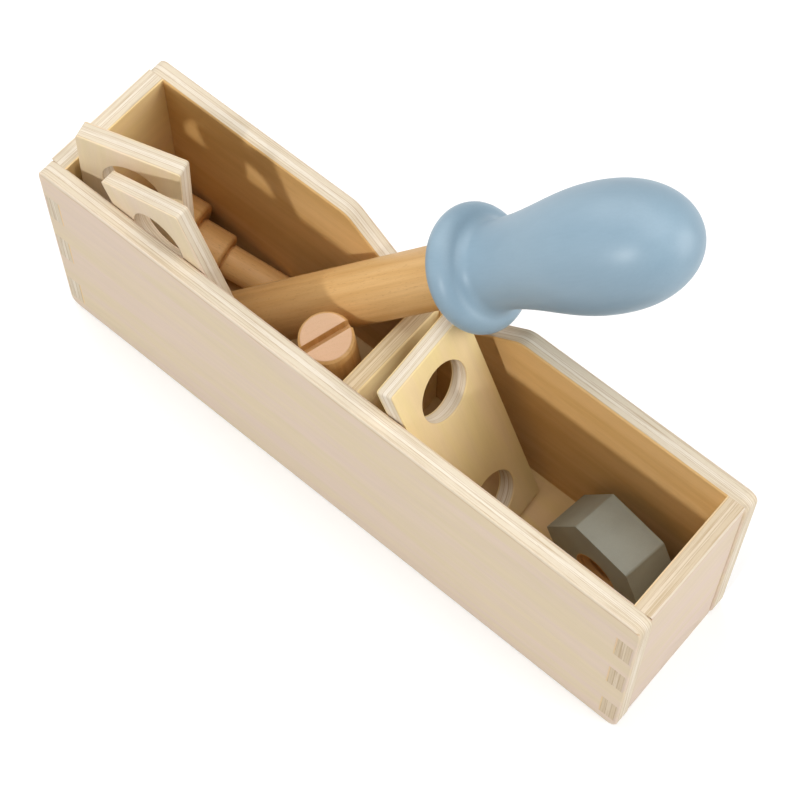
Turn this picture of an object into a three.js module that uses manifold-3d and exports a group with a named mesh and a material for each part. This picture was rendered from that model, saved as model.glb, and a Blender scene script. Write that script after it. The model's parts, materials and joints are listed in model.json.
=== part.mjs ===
// Wooden toy tool box: an open plywood box with a divider, and in it a toy screwdriver, two bolts,
// a hex nut and three perforated plates.
// Millimetres, +Z up, +X along the box, +Y from the near long wall to the far one.
// The origin is the middle of the bottom board's underside.
import * as THREE from 'three';
import { mergeVertices } from 'three/addons/utils/BufferGeometryUtils.js';
import Module from 'manifold-3d';

// Box
const boxLength = 240;
const boxWidth = 56.8;
const boxHeight = 84.15;
const wallThickness = 6.4;
const bottomThickness = 8;
const endInset = 0.8;
const wallCornerRadius = 3.8;
const edgeEase = 0.45;

// Dip in the far wall's top edge
const dipDepth = 16;
const dipTopLength = 70;
const dipFloorLength = 31;
const dipTopRadius = 8;
const dipFloorRadius = 7;

// Divider across the middle of the box
const dividerShare = 0.003;
const dividerUnderShaft = 1.1;

// Through tenons of the end walls
const tenonHeight = 13.2;
const tenonGap = 0.25;
const tenonCentreShares = [0.138, 0.466, 0.756];

// Gaps between loose pieces and what carries them, how far a cutter runs past a face,
// and how close two mesh corners are to count as one
const seatGap = 0.3;
const leanGap = 0.35;
const cutOverrun = 2;
const weldReach = 0.0001;

// Perforated plates, three alike
const plateWidth = 36.1;
const plateLength = 91.5;
const plateThickness = 5.4;
const plateCornerRadius = 1;
const plateHoleRadius = 10.3;
const plateHoleInset = 17.6;

// Screwdriver: a dowel shaft with a flat tip, glued into a turned handle
const shaftRadius = 10;
const shaftLength = 128;
const tipLength = 10.5;
const tipThickness = 3.2;
const tipRadius = 7;
const socketDepth = 34;
const socketGap = 0.3;
const flangeRadius = 19.95;
const flangeHalfThickness = 5.6;
const neckRadius = 13.57;
const neckFillet = 4.5;
const bulbRadius = 19.06;
const bulbAt = 50.6;
const handleEndAt = 81.83;
const bulbEndPower = 2.28;

// Slotted bolt that stands by the near wall
const boltHeadRadius = 8.9;
const boltHeadHeight = 27;
const boltShankRadius = 5.8;
const boltShankLength = 37.5;
const slotWidth = 2.9;
const slotDepth = 4.2;
const turnedEase = 0.9;

// Stepped bolt that lies by the far wall
const pegHeadRadius = 13.3;
const pegHeadLength = 14.5;
const pegCollarRadius = 8.5;
const pegCollarLength = 13.1;
const pegShankRadius = 5.75;
const pegShankLength = 24;

// Hex nut
const nutAcrossFlats = 38.5;
const nutThickness = 16.5;
const nutBoreRadius = 8.3;
const nutCornerRadius = 1.1;
const nutEase = 0.7;

// Where the loose pieces lie: shares of the room inside the box, distances, and angles in degrees
const flangeShare = 0.0714;
const flangeBeyondWall = 2.35;
const flangeAboveWall = 21.35;
const driverHeading = 21.37;
const driverTilt = 45.14;
const handleHeading = 19.6;
const handleTilt = 47.1;
const leaningPlateTurn = 4;
const leaningPlateLean = 21;
const leaningPlateRoll = -0.2;
const leftPlateEndGap = 0.964;
const leftPlateTurn = -72.6;
const leftPlateLean = 2.4;
const leftPlateRoll = -0.6;
const tiltedPlateShare = -0.204;
const tiltedPlateTurn = -90;
const tiltedPlateRoll = 22;
const slottedBoltBeforeFlange = 31.449;
const slottedBoltSideShare = -0.048;
const slottedBoltHeading = -90;
const slottedBoltTilt = 7;
const slotTurn = 161.6;
const pegEndGap = 0.691;
const nutShare = 0.3955;
const nutSideShare = 0.155;
const nutTurn = -7.5;

// Counts for round stretches
const roundSteps = 40;
const cornerSteps = 5;
const profileSteps = 16;
const nutSides = 6;

const wasm = await Module();
wasm.setup();

// Woods and paints
const birch = { color: 0xdecbab, roughness: 0.62, metalness: 0 };
const birchInside = { color: 0xc79c66, roughness: 0.6, metalness: 0 };
const beech = { color: 0xd09b62, roughness: 0.5, metalness: 0 };
const paleBeech = { color: 0xe0b58d, roughness: 0.55, metalness: 0 };
const bluePaint = { color: 0x8fadc1, roughness: 0.38, metalness: 0 };
const greyPaint = { color: 0x85867f, roughness: 0.45, metalness: 0 };

const degrees = THREE.MathUtils.degToRad;
const quarterTurn = 90;

// Turns a closed geometry into a solid for cutting
function toSolid(geometry) {
  const bare = geometry.clone();
  bare.deleteAttribute('normal');
  bare.deleteAttribute('uv');
  const merged = mergeVertices(bare, weldReach);
  return new wasm.Manifold(new wasm.Mesh({
    numProp: 3,
    vertProperties: new Float32Array(merged.attributes.position.array),
    triVerts: new Uint32Array(merged.index.array),
  }));
}

function toGeometry(solid) {
  const mesh = solid.getMesh();
  const geometry = new THREE.BufferGeometry();
  geometry.setAttribute('position', new THREE.BufferAttribute(new Float32Array(mesh.vertProperties), 3));
  geometry.setIndex(new THREE.BufferAttribute(new Uint32Array(mesh.triVerts), 1));
  geometry.computeVertexNormals();
  return geometry;
}

// Closed outline through [x, y, radius] corners, each rounded by an arc of its own radius
function roundedShape(corners) {
  const shape = new THREE.Shape();
  corners.forEach(([x, y, radius], i) => {
    const at = new THREE.Vector2(x, y);
    const [beforeX, beforeY] = corners.at(i - 1);
    const [afterX, afterY] = corners[(i + 1) % corners.length];
    const before = new THREE.Vector2(beforeX, beforeY).sub(at).normalize();
    const after = new THREE.Vector2(afterX, afterY).sub(at).normalize();
    const half = Math.acos(THREE.MathUtils.clamp(before.dot(after), -1, 1)) / 2;
    const reach = radius / Math.tan(half);
    const start = at.clone().addScaledVector(before, reach);
    const end = at.clone().addScaledVector(after, reach);
    if (i === 0) shape.moveTo(start.x, start.y);
    else shape.lineTo(start.x, start.y);
    if (radius > 0) {
      const inward = before.clone().add(after).normalize();
      const centre = at.clone().addScaledVector(inward, radius / Math.sin(half));
      const from = Math.atan2(start.y - centre.y, start.x - centre.x);
      const to = Math.atan2(end.y - centre.y, end.x - centre.x);
      const clockwise = before.cross(after) > 0;
      shape.absarc(centre.x, centre.y, radius, from, to, clockwise);
    }
  });
  shape.closePath();
  return shape;
}

// Board cut from an outline, centred on its thickness, with its edges eased
function slab(shape, thickness, ease) {
  const geometry = new THREE.ExtrudeGeometry(shape, {
    depth: thickness - 2 * ease,
    bevelEnabled: ease > 0,
    bevelThickness: ease,
    bevelSize: ease,
    bevelOffset: -ease,
    bevelSegments: 1,
    curveSegments: cornerSteps,
  });
  geometry.translate(0, 0, ease - thickness / 2);
  return geometry;
}

function roundHole(x, y, radius) {
  const hole = new THREE.Path();
  const points = [];
  for (let i = 0; i < roundSteps; i += 1) {
    const angle = (-2 * Math.PI * i) / roundSteps;
    points.push(new THREE.Vector2(x + radius * Math.cos(angle), y + radius * Math.sin(angle)));
  }
  hole.setFromPoints(points);
  return hole;
}

// Turned piece along +Z from a list of [radius, height] points, its first and last on the axis
function turned(profile) {
  const geometry = new THREE.LatheGeometry(profile.map(([r, z]) => new THREE.Vector2(r, z)), roundSteps);
  geometry.rotateX(Math.PI / 2);
  return geometry;
}

// Stepped turned profile from [radius, length] stretches laid end to end, with eased rims
function steppedProfile(stretches, ease) {
  const points = [];
  let from = 0;
  for (const [radius, length] of stretches) {
    const to = from + length;
    points.push([radius - ease, from], [radius, from + ease], [radius, to - ease], [radius - ease, to]);
    from = to;
  }
  return [[0, 0], ...points, [0, from]];
}

function addMesh(parent, name, geometry, look) {
  const mesh = new THREE.Mesh(geometry, new THREE.MeshStandardMaterial(look));
  mesh.name = name;
  parent.add(mesh);
  return mesh;
}

// Turns an object about Z, then leans its top back from +X, then rolls it in its own plane
function pose(object, x, y, z, turn, lean, roll) {
  object.rotation.order = 'ZYX';
  object.rotation.set(degrees(roll), degrees(lean), degrees(turn));
  object.position.set(x, y, z);
}

// Room inside the box
const innerHalfLength = boxLength / 2 - endInset - wallThickness;
const innerHalfWidth = boxWidth / 2 - wallThickness;
const roomLength = 2 * innerHalfLength;
const roomWidth = 2 * innerHalfWidth;
const floorTop = bottomThickness;
const standing = floorTop + seatGap;

const group = new THREE.Group();

// Long walls: outline in X and Z, thickness along Y
function longWall(name, side, topEdge) {
  const half = boxLength / 2;
  const shape = roundedShape([
    [-half, 0, wallCornerRadius],
    [half, 0, wallCornerRadius],
    [half, boxHeight, wallCornerRadius],
    ...topEdge,
    [-half, boxHeight, wallCornerRadius],
  ]);
  const board = slab(shape, wallThickness, edgeEase);
  board.rotateX(Math.PI / 2);
  board.translate(0, side * (innerHalfWidth + wallThickness / 2), 0);
  let solid = toSolid(board);
  for (const end of [-1, 1]) {
    for (const share of tenonCentreShares) {
      const mortise = new THREE.BoxGeometry(
        wallThickness + 2 * tenonGap,
        wallThickness + 2 * cutOverrun,
        tenonHeight + 2 * tenonGap,
      );
      mortise.translate(
        end * (innerHalfLength + wallThickness / 2),
        side * (innerHalfWidth + wallThickness / 2),
        share * boxHeight,
      );
      solid = solid.subtract(toSolid(mortise));
    }
  }
  addMesh(group, name, toGeometry(solid), birch);
}

const dipFloor = boxHeight - dipDepth;
const dipEdge = [
  [dipTopLength / 2, boxHeight, dipTopRadius],
  [dipFloorLength / 2, dipFloor, dipFloorRadius],
  [-dipFloorLength / 2, dipFloor, dipFloorRadius],
  [-dipTopLength / 2, boxHeight, dipTopRadius],
];
longWall('near_wall', -1, []);
longWall('far_wall', 1, dipEdge);

// End walls: outline in Y and Z with three tenons at each side, thickness along X
function endWall(name, end) {
  const tenonReach = boxWidth / 2;
  const side = [];
  for (const share of tenonCentreShares) {
    const low = share * boxHeight - tenonHeight / 2;
    const high = share * boxHeight + tenonHeight / 2;
    side.push([innerHalfWidth, low], [tenonReach, low], [tenonReach, high], [innerHalfWidth, high]);
  }
  const right = [[innerHalfWidth, 0], ...side, [innerHalfWidth, boxHeight]];
  const left = right.map(([y, z]) => [-y, z]).reverse();
  const shape = roundedShape([...right, ...left].map(([y, z]) => [y, z, 0]));
  const board = slab(shape, wallThickness, 0);
  board.rotateX(Math.PI / 2);
  board.rotateZ(Math.PI / 2);
  board.translate(end * (innerHalfLength + wallThickness / 2), 0, 0);
  addMesh(group, name, board, birch);
}
endWall('left_end_wall', -1);
endWall('right_end_wall', 1);

// Bottom board between the four walls
const bottom = new THREE.BoxGeometry(roomLength, roomWidth, bottomThickness);
bottom.translate(0, 0, bottomThickness / 2);
addMesh(group, 'bottom_board', bottom, birchInside);

// Board that stands on its lower end: thickness along X, width along Y, length along Z
function upright(width, length, thickness, cornerRadius, holes) {
  const shape = roundedShape([
    [-width / 2, 0, cornerRadius],
    [width / 2, 0, cornerRadius],
    [width / 2, length, cornerRadius],
    [-width / 2, length, cornerRadius],
  ]);
  shape.holes.push(...holes);
  const board = slab(shape, thickness, edgeEase);
  board.rotateX(Math.PI / 2);
  board.rotateZ(Math.PI / 2);
  return board;
}

function perforatedPlate(name) {
  const places = [plateHoleInset, plateLength - plateHoleInset];
  const holes = places.map((at) => roundHole(0, at, plateHoleRadius));
  const plate = upright(plateWidth, plateLength, plateThickness, plateCornerRadius, holes);
  return addMesh(group, name, plate, birch);
}

// Lowest point of a leaning, rolled board below the middle of its lower end
function footDrop(width, thickness, lean, roll) {
  const rollAngle = degrees(Math.abs(roll));
  const leanAngle = degrees(lean);
  const corner = (width / 2 - plateCornerRadius) * Math.sin(rollAngle);
  const rounding = plateCornerRadius * (1 - Math.cos(rollAngle));
  return (corner + rounding) * Math.cos(leanAngle) + (thickness / 2) * Math.sin(leanAngle);
}

// Left plate's place near the left end wall, and how far it reaches to the right
const leftAngle = degrees(leftPlateTurn);
const leftPlateHalfSpan = (plateThickness * Math.cos(leftAngle) - plateWidth * Math.sin(leftAngle)) / 2;
const leftPlateX = leftPlateEndGap + leftPlateHalfSpan - innerHalfLength;
const leftPlateEnd = leftPlateX + leftPlateHalfSpan;

// Screwdriver, its local +Z along the shaft from tip to handle, its origin at the flange's centre.
// It lies over the dip in the far wall and over the leaning plate's far top corner.
const tilt = degrees(driverTilt);
const heading = degrees(driverHeading);
const acrossShaft = new THREE.Vector2(-Math.sin(heading), Math.cos(heading));
const alongShaft = new THREE.Vector2(Math.cos(heading), Math.sin(heading));
const driverX = flangeShare * roomLength;
const flangeCentre = new THREE.Vector3(
  driverX,
  innerHalfWidth + flangeBeyondWall,
  boxHeight + flangeAboveWall,
);

// Its tip stays clear of the floor and of the left plate: it stands further out where they need it
const shaftStep = new THREE.Vector3(
  Math.sin(tilt) * alongShaft.x,
  Math.sin(tilt) * alongShaft.y,
  Math.cos(tilt),
);
const tipCentre = flangeCentre.clone().addScaledVector(shaftStep, -shaftLength);
const tipLow = tipCentre.z - (tipThickness / 2) * Math.sin(tilt);
const dowelLow = tipCentre.z + tipLength * Math.cos(tilt) - shaftRadius * Math.sin(tilt);
const tipHalfSpan = (tipThickness / 2) * Math.cos(tilt) * alongShaft.x - tipRadius * acrossShaft.x;
const outForFloor = (standing - Math.min(tipLow, dowelLow)) / shaftStep.z;
const outForPlate = (leftPlateEnd + leanGap - (tipCentre.x - tipHalfSpan)) / shaftStep.x;
flangeCentre.addScaledVector(shaftStep, Math.max(0, outForFloor, outForPlate));

const driver = new THREE.Group();
pose(driver, flangeCentre.x, flangeCentre.y, flangeCentre.z, driverHeading, driverTilt, 0);
group.add(driver);

// Shaft: a dowel whose lower end narrows to a flat tip
const dowelTop = socketDepth - flangeHalfThickness - socketGap;
const dowel = turned([
  [0, -shaftLength],
  [tipRadius, -shaftLength],
  [shaftRadius, tipLength - shaftLength],
  [shaftRadius, dowelTop - turnedEase],
  [shaftRadius - turnedEase, dowelTop],
  [0, dowelTop],
]);
const reach = shaftRadius + cutOverrun;
const blade = new THREE.ExtrudeGeometry(roundedShape([
  [-tipThickness / 2, -shaftLength - cutOverrun, 0],
  [tipThickness / 2, -shaftLength - cutOverrun, 0],
  [tipThickness / 2, -shaftLength, 0],
  [shaftRadius, tipLength - shaftLength, 0],
  [reach, tipLength - shaftLength, 0],
  [reach, dowelTop + cutOverrun, 0],
  [-reach, dowelTop + cutOverrun, 0],
  [-reach, tipLength - shaftLength, 0],
  [-shaftRadius, tipLength - shaftLength, 0],
  [-tipThickness / 2, -shaftLength, 0],
]), { depth: 2 * reach, bevelEnabled: false });
blade.translate(0, 0, -reach);
blade.rotateX(Math.PI / 2);
addMesh(driver, 'driver_shaft', toGeometry(toSolid(dowel).intersect(toSolid(blade))), beech);

// Handle: a round-rimmed flange, a fillet, a neck and a bulb, turned about its own slightly bent axis
function handleProfile() {
  const points = [[0, -flangeHalfThickness]];
  const rimRadius = flangeRadius - flangeHalfThickness;
  const filletSide = neckRadius + neckFillet - rimRadius;
  const neckAt = Math.sqrt((flangeHalfThickness + neckFillet) ** 2 - filletSide ** 2);
  const rimEnd = Math.atan2(neckAt, filletSide);
  for (let i = 0; i <= profileSteps / 2; i += 1) {
    const angle = THREE.MathUtils.lerp(-Math.PI / 2, rimEnd, i / (profileSteps / 2));
    points.push([rimRadius + flangeHalfThickness * Math.cos(angle), flangeHalfThickness * Math.sin(angle)]);
  }
  for (let i = 1; i < profileSteps / 4; i += 1) {
    const angle = THREE.MathUtils.lerp(rimEnd, 0, i / (profileSteps / 4));
    points.push([neckRadius + neckFillet * (1 - Math.cos(angle)), neckAt - neckFillet * Math.sin(angle)]);
  }
  for (let i = 0; i <= profileSteps / 2; i += 1) {
    const share = i / (profileSteps / 2);
    const swell = (1 - Math.cos(Math.PI * share)) / 2;
    points.push([neckRadius + (bulbRadius - neckRadius) * swell, neckAt + (bulbAt - neckAt) * share]);
  }
  const endLength = handleEndAt - bulbAt;
  for (let i = 1; i < profileSteps / 2; i += 1) {
    const share = Math.sin((Math.PI / 2) * (i / (profileSteps / 2)));
    points.push([bulbRadius * Math.sqrt(1 - share ** bulbEndPower), bulbAt + endLength * share]);
  }
  points.push([0, handleEndAt]);
  return points;
}
const handleFrame = new THREE.Object3D();
pose(handleFrame, 0, 0, 0, handleHeading, handleTilt, 0);
const driverFrame = new THREE.Object3D();
pose(driverFrame, 0, 0, 0, driverHeading, driverTilt, 0);
const bend = driverFrame.quaternion.clone().invert().multiply(handleFrame.quaternion);
const handle = turned(handleProfile());
handle.applyQuaternion(bend);
const socket = turned([
  [0, -flangeHalfThickness - cutOverrun],
  [shaftRadius + socketGap, -flangeHalfThickness - cutOverrun],
  [shaftRadius + socketGap, dowelTop + socketGap],
  [0, dowelTop + socketGap],
]);
addMesh(driver, 'driver_handle', toGeometry(toSolid(handle).subtract(toSolid(socket))), bluePaint);

// Leaning plate: its near edge stands by the near wall, and its far top corner leans under the shaft
const leaningPlate = perforatedPlate('plate_leaning');
const leaningPlateFoot = standing + footDrop(plateWidth, plateThickness, leaningPlateLean, leaningPlateRoll);
pose(leaningPlate, 0, 0, leaningPlateFoot, leaningPlateTurn, -leaningPlateLean, leaningPlateRoll);
leaningPlate.updateMatrix();
const nearLow = new THREE.Vector3(-plateThickness / 2, -plateWidth / 2, 0).applyMatrix4(leaningPlate.matrix);
const nearHigh = new THREE.Vector3(-plateThickness / 2, -plateWidth / 2, plateLength)
  .applyMatrix4(leaningPlate.matrix);
const wallTopShare = Math.min((boxHeight - nearLow.z) / (nearHigh.z - nearLow.z), 1);
const nearEdgeY = THREE.MathUtils.lerp(nearLow.y, nearHigh.y, wallTopShare);
leaningPlate.position.y = seatGap - innerHalfWidth - nearEdgeY;
leaningPlate.updateMatrix();

// Place along X where a point of the plate just clears the shaft's underside
const clearRadius = shaftRadius + leanGap;
const sideways = new THREE.Vector3(1, 0, 0).projectOnPlane(shaftStep);
function leanPlace(point) {
  const offset = point.clone().sub(flangeCentre).projectOnPlane(shaftStep);
  const half = offset.dot(sideways);
  const root = half ** 2 - sideways.lengthSq() * (offset.lengthSq() - clearRadius ** 2);
  return (Math.sqrt(Math.max(root, 0)) - half) / sideways.lengthSq();
}
const cornerPlaces = [];
for (const inset of [0, edgeEase]) {
  const radius = plateCornerRadius - inset;
  for (let i = 0; i <= profileSteps; i += 1) {
    const angle = (Math.PI / 2) * (i / profileSteps);
    const point = new THREE.Vector3(
      edgeEase - inset - plateThickness / 2,
      plateWidth / 2 - plateCornerRadius + radius * Math.cos(angle),
      plateLength - plateCornerRadius + radius * Math.sin(angle),
    );
    cornerPlaces.push(leanPlace(point.applyMatrix4(leaningPlate.matrix)));
  }
}
leaningPlate.position.x = Math.max(...cornerPlaces);

// Left plate: stands near the left end wall
const leftPlate = perforatedPlate('plate_left');
const leftPlateReach = (plateWidth * Math.cos(leftAngle) - plateThickness * Math.sin(leftAngle)) / 2;
const leftPlateFoot = standing + footDrop(plateWidth, plateThickness, leftPlateLean, leftPlateRoll);
pose(leftPlate, leftPlateX, 0, leftPlateFoot, leftPlateTurn, -leftPlateLean, leftPlateRoll);
leftPlate.position.y = leftPlateReach - innerHalfWidth + seatGap;

// Tilted plate: flat against the near wall's inner face, on one corner
const tiltedPlate = perforatedPlate('plate_tilted');
pose(
  tiltedPlate,
  tiltedPlateShare * roomLength,
  plateThickness / 2 + seatGap - innerHalfWidth,
  standing + footDrop(plateWidth, plateThickness, 0, tiltedPlateRoll),
  tiltedPlateTurn,
  0,
  tiltedPlateRoll,
);

// Divider: stands across the box between the long walls, its top just under the screwdriver's shaft
const dividerX = dividerShare * roomLength;
const dividerBack = dividerX - wallThickness / 2 - flangeCentre.x;
const shaftOverDivider = flangeCentre.z + dividerBack / Math.tan(tilt) / alongShaft.x;
const dividerTop = shaftOverDivider - shaftRadius / Math.sin(tilt) - dividerUnderShaft;
const divider = upright(roomWidth, dividerTop - floorTop, wallThickness, 0, []);
divider.translate(dividerX, 0, floorTop);
addMesh(group, 'divider', divider, birch);

// Slotted bolt, its local +Z from foot to head
const slottedBolt = turned(steppedProfile(
  [[boltShankRadius, boltShankLength], [boltHeadRadius, boltHeadHeight]],
  turnedEase,
));
const boltLength = boltShankLength + boltHeadHeight;
const slot = new THREE.BoxGeometry(2 * (boltHeadRadius + cutOverrun), slotWidth, slotDepth + cutOverrun);
slot.translate(0, 0, boltLength - slotDepth + (slotDepth + cutOverrun) / 2);
slot.rotateZ(degrees(slotTurn));
const slotted = addMesh(
  group,
  'slotted_bolt',
  toGeometry(toSolid(slottedBolt).subtract(toSolid(slot))),
  paleBeech,
);
pose(
  slotted,
  driverX - slottedBoltBeforeFlange,
  slottedBoltSideShare * roomWidth,
  standing + boltShankRadius * Math.sin(degrees(slottedBoltTilt)),
  slottedBoltHeading,
  slottedBoltTilt,
  0,
);

// Stepped bolt, its local +Z from head to thin end; its head's and thin end's rims touch floor and far wall
const stepped = addMesh(
  group,
  'stepped_bolt',
  turned(steppedProfile(
    [
      [pegHeadRadius, pegHeadLength],
      [pegCollarRadius, pegCollarLength],
      [pegShankRadius, pegShankLength],
    ],
    turnedEase,
  )),
  beech,
);
const pegRun = pegCollarLength + pegShankLength;
const pegDrop = Math.atan2(pegHeadRadius - pegShankRadius, pegRun);
const pegStart = (pegHeadLength + pegRun) * Math.cos(pegDrop) * Math.sin(pegDrop);
const pegEnd = seatGap + pegShankRadius * Math.cos(pegDrop);
const pegHeadSpan = pegHeadRadius * Math.sqrt(1 - Math.cos(pegDrop) ** 4);
pose(
  stepped,
  pegEndGap + pegHeadSpan - innerHalfLength,
  innerHalfWidth - pegEnd - pegStart,
  floorTop + pegEnd + (pegHeadLength + pegRun) * Math.sin(pegDrop),
  THREE.MathUtils.radToDeg(pegDrop),
  quarterTurn + THREE.MathUtils.radToDeg(pegDrop),
  0,
);

// Hex nut: lies on one flat, its bore level and nearly across the box
const nutOuter = [];
for (let i = 0; i < nutSides; i += 1) {
  const angle = (2 * Math.PI * i) / nutSides;
  const radius = nutAcrossFlats / 2 / Math.cos(Math.PI / nutSides);
  nutOuter.push([radius * Math.cos(angle), radius * Math.sin(angle), nutCornerRadius]);
}
const nutShape = roundedShape(nutOuter);
nutShape.holes.push(roundHole(0, 0, nutBoreRadius));
const nutGeometry = slab(nutShape, nutThickness, nutEase);
nutGeometry.rotateX(Math.PI / 2);
const nut = addMesh(group, 'hex_nut', nutGeometry, greyPaint);
pose(nut, nutShare * roomLength, nutSideShare * roomWidth, standing + nutAcrossFlats / 2, nutTurn, 0, 0);

export default group;
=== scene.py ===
import json
import math

import bmesh
import bpy
import numpy as np
from mathutils import Matrix, Vector

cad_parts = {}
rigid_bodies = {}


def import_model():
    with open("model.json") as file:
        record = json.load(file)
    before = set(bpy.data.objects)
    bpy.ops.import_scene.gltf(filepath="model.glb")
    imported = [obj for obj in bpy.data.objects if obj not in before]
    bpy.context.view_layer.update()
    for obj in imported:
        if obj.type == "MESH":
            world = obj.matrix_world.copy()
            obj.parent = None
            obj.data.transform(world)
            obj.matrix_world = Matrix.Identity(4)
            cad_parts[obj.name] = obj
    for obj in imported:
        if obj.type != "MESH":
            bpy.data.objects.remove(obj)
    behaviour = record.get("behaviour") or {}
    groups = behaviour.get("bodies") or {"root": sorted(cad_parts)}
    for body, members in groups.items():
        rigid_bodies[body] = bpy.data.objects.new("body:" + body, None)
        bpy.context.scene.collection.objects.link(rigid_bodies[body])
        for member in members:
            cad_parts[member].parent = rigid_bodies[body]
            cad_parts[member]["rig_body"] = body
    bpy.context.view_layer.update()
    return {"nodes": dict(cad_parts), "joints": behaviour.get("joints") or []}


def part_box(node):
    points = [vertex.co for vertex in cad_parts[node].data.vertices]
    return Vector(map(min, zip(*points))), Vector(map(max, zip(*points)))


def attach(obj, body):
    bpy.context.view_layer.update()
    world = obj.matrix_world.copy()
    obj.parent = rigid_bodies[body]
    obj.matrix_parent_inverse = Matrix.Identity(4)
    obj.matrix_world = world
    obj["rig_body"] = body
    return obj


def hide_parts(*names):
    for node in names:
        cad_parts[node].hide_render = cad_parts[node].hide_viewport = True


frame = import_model()
scene = bpy.context.scene
mm = 0.001
mergeReach = 0.001 * mm  # points of a made mesh that are closer than this are one
easedAngle = math.radians(25)  # edges sharper than this are rounded over
sharpAngle = math.radians(30)  # and those sharper than this are shaded as edges


# node trees as Python


class Wire:
    # an output socket, so that shader and geometry maths reads as Python
    def __init__(self, sheet, socket):
        self.sheet = sheet
        self.socket = socket

    def math(self, operation, other=0.0):
        return self.sheet.math(operation, self, other)

    def __add__(self, other):
        return self.math("ADD", other)

    def __radd__(self, other):
        return self.math("ADD", other)

    def __sub__(self, other):
        return self.math("SUBTRACT", other)

    def __rsub__(self, other):
        return self.sheet.math("SUBTRACT", other, self)

    def __mul__(self, other):
        return self.math("MULTIPLY", other)

    def __rmul__(self, other):
        return self.math("MULTIPLY", other)

    def __truediv__(self, other):
        return self.math("DIVIDE", other)

    def __rtruediv__(self, other):
        return self.sheet.math("DIVIDE", other, self)

    def __pow__(self, other):
        return self.math("POWER", other)

    def __rpow__(self, other):
        return self.sheet.math("POWER", other, self)

    def __abs__(self):
        return self.math("ABSOLUTE")


class Sheet:
    # a node tree being drawn up, from empty
    def __init__(self, tree):
        self.tree = tree
        tree.nodes.clear()

    def node(self, kind, settings=None, values=None, output=0):
        # the settings come first, then each socket's value, link or list of links
        made = self.tree.nodes.new(kind)
        for key, value in (settings or {}).items():
            setattr(made, key, value)
        for key, value in (values or {}).items():
            for item in value if isinstance(value, list) else [value]:
                if isinstance(item, Wire):
                    self.tree.links.new(item.socket, made.inputs[key])
                else:
                    made.inputs[key].default_value = item
        if output is None:
            return made
        return Wire(self, made.outputs[output])

    def math(self, operation, first, second=0.0, clamp=False):
        settings = {"operation": operation, "use_clamp": clamp}
        return self.node("ShaderNodeMath", settings, {0: first, 1: second})

    def split(self, vector):
        made = self.node("ShaderNodeSeparateXYZ", values={0: vector}, output=None)
        return [Wire(self, socket) for socket in made.outputs]

    def join(self, x, y, z):
        return self.node("ShaderNodeCombineXYZ", values={0: x, 1: y, 2: z})

    def step(self, value, start, end, kind="SMOOTHSTEP"):
        # 0 before start, 1 after end, smooth between them
        values = {0: value, 1: start, 2: end, 3: 0.0, 4: 1.0}
        return self.node("ShaderNodeMapRange", {"interpolation_type": kind}, values)

    def share(self, value, start, end):
        # 0 before start, 1 after end, even between them
        return self.step(value, start, end, "LINEAR")


class Finish(Sheet):
    # a material being drawn up, in millimetres and in the piece's own axes
    def __init__(self, name, place):
        self.material = bpy.data.materials.new(name)
        self.material.use_nodes = True
        super().__init__(self.material.node_tree)
        coordinates = self.node("ShaderNodeTexCoord", output="Object")
        own = self.node(
            "ShaderNodeMapping",
            {"vector_type": "TEXTURE"},
            {"Vector": coordinates, "Location": place.to_translation(), "Rotation": place.to_euler()},
        )
        self.point = self.node("ShaderNodeVectorMath", {"operation": "SCALE"}, {0: own, "Scale": 1 / mm})

    def noise(self, fineness, detail=2.0, roughness=0.5, distortion=0.0):
        # fineness is how often the pattern changes along each axis, per mm
        own = self.node("ShaderNodeVectorMath", {"operation": "MULTIPLY"}, {0: self.point, 1: fineness})
        values = {"Vector": own, "Scale": 1.0, "Detail": detail, "Roughness": roughness}
        values["Distortion"] = distortion
        return self.node("ShaderNodeTexNoise", {"noise_dimensions": "3D"}, values)

    def mix(self, factor, first, second, blend="MIX"):
        settings = {"data_type": "RGBA", "blend_type": blend}
        colours = [value if isinstance(value, Wire) else (*value, 1.0) for value in (first, second)]
        return self.node("ShaderNodeMix", settings, {0: factor, 6: colours[0], 7: colours[1]}, output=2)

    def shade(self, colour, amount):
        # multiplies a colour by a grey amount
        return self.node("ShaderNodeVectorMath", {"operation": "SCALE"}, {0: colour, "Scale": amount})

    def surface(self, colour, roughness, height, relief, specular):
        # the finished material, whose bumps are as deep as the relief
        values = {"Strength": 1.0, "Distance": relief, "Height": height}
        bump = self.node("ShaderNodeBump", values=values)
        values = {"Base Color": colour, "Roughness": roughness, "Normal": bump}
        values["Specular IOR Level"] = specular
        shader = self.node("ShaderNodeBsdfPrincipled", values=values)
        self.node("ShaderNodeOutputMaterial", values={"Surface": shader}, output=None)
        return self.material


# places of the pieces, read from the frame

weld = {"reach": 0.002 * mm, "flatness": math.radians(0.6)}
parallel, square = 0.999, 0.02  # cosines between normals taken as parallel, and as square


def weldedMesh(node):
    # a merged copy of a CAD node, in place, with its flat faces whole
    mesh = frame["nodes"][node].data.copy()
    mesh.materials.clear()
    cage = bmesh.new()
    cage.from_mesh(mesh)
    bmesh.ops.remove_doubles(cage, verts=cage.verts, dist=weld["reach"])
    bmesh.ops.dissolve_limit(cage, angle_limit=weld["flatness"], verts=cage.verts, edges=cage.edges)
    bmesh.ops.recalc_face_normals(cage, faces=cage.faces)
    cage.to_mesh(mesh)
    cage.free()
    return mesh


def corners(mesh):
    return np.array([vertex.co for vertex in mesh.vertices])


def framed(points, axes):
    # the place with these axes at the middle of the points, and their size along each axis
    turn = np.array(axes).T
    spread = points @ turn
    low, high = spread.min(0), spread.max(0)
    place = Matrix.Translation(turn @ ((low + high) / 2)) @ Matrix(turn.tolist()).to_4x4()
    return place, (high - low).tolist()


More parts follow.
